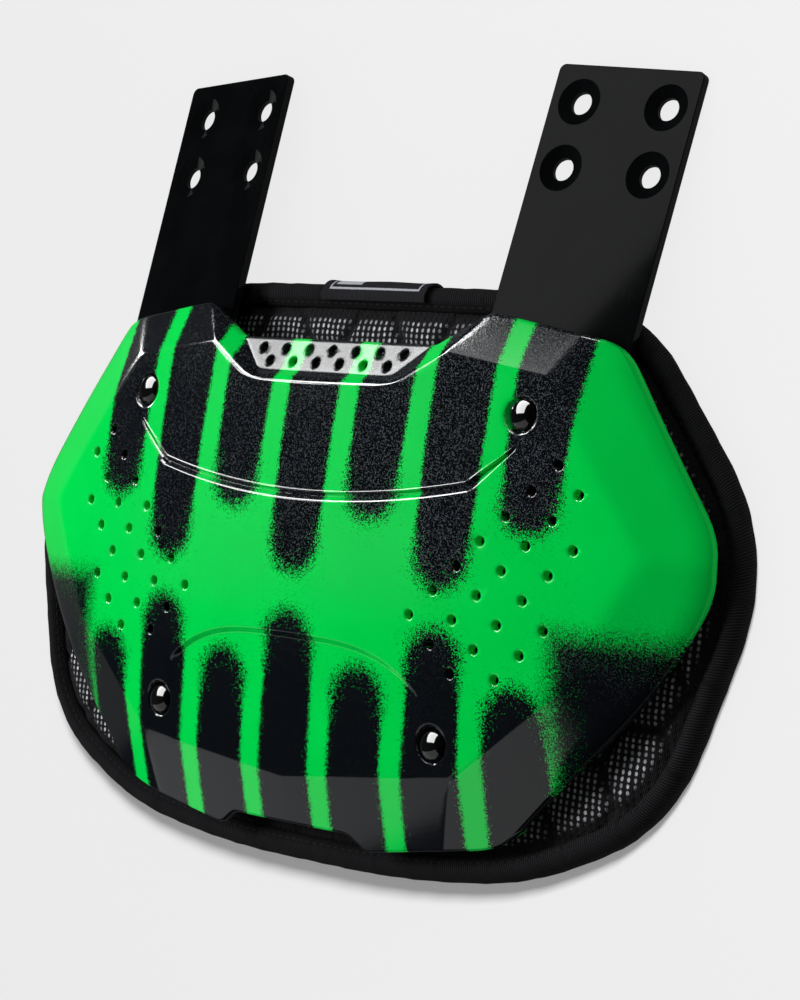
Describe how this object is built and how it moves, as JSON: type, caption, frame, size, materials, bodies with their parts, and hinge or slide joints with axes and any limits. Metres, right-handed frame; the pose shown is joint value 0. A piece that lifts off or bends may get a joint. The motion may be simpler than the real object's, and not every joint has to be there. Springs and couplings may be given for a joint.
{
  "type": "football back plate",
  "caption": "Bevelled hard-shell back plate with vent holes on a bound foam pad, with flat screw-on straps that hang it from shoulder pads.",
  "frame": {"origin": "on the floor under the middle of the part's outline, lying on its back", "axes": "+X across the plate to the right as seen from the front, +Y up the plate towards the strap ends, +Z away from the floor, the way the shell faces"},
  "size_m": [0.299, 0.247, 0.0351],
  "materials": {
    "shell_print": "hard moulded plastic, bright green with sprayed black bars, satin gloss with a fine grain",
    "strap_plastic": "smooth glossy black plastic",
    "rivet_plastic": "polished black domed heads",
    "pad_mesh": "black spacer mesh with pale dots, quilted in segments",
    "binding_knit": "fine cross-ribbed black knit, matte",
    "label_weave": "flat woven black label with a pale edge"
  },
  "bodies": {
    "root": {"shell": "shell_print", "strap_left": "strap_plastic", "strap_right": "strap_plastic", "rivet_upper_left": "rivet_plastic", "rivet_upper_right": "rivet_plastic", "rivet_lower_left": "rivet_plastic", "rivet_lower_right": "rivet_plastic", "pad": "pad_mesh", "binding": "binding_knit", "label": "label_weave"}
  },
  "joints": []
}
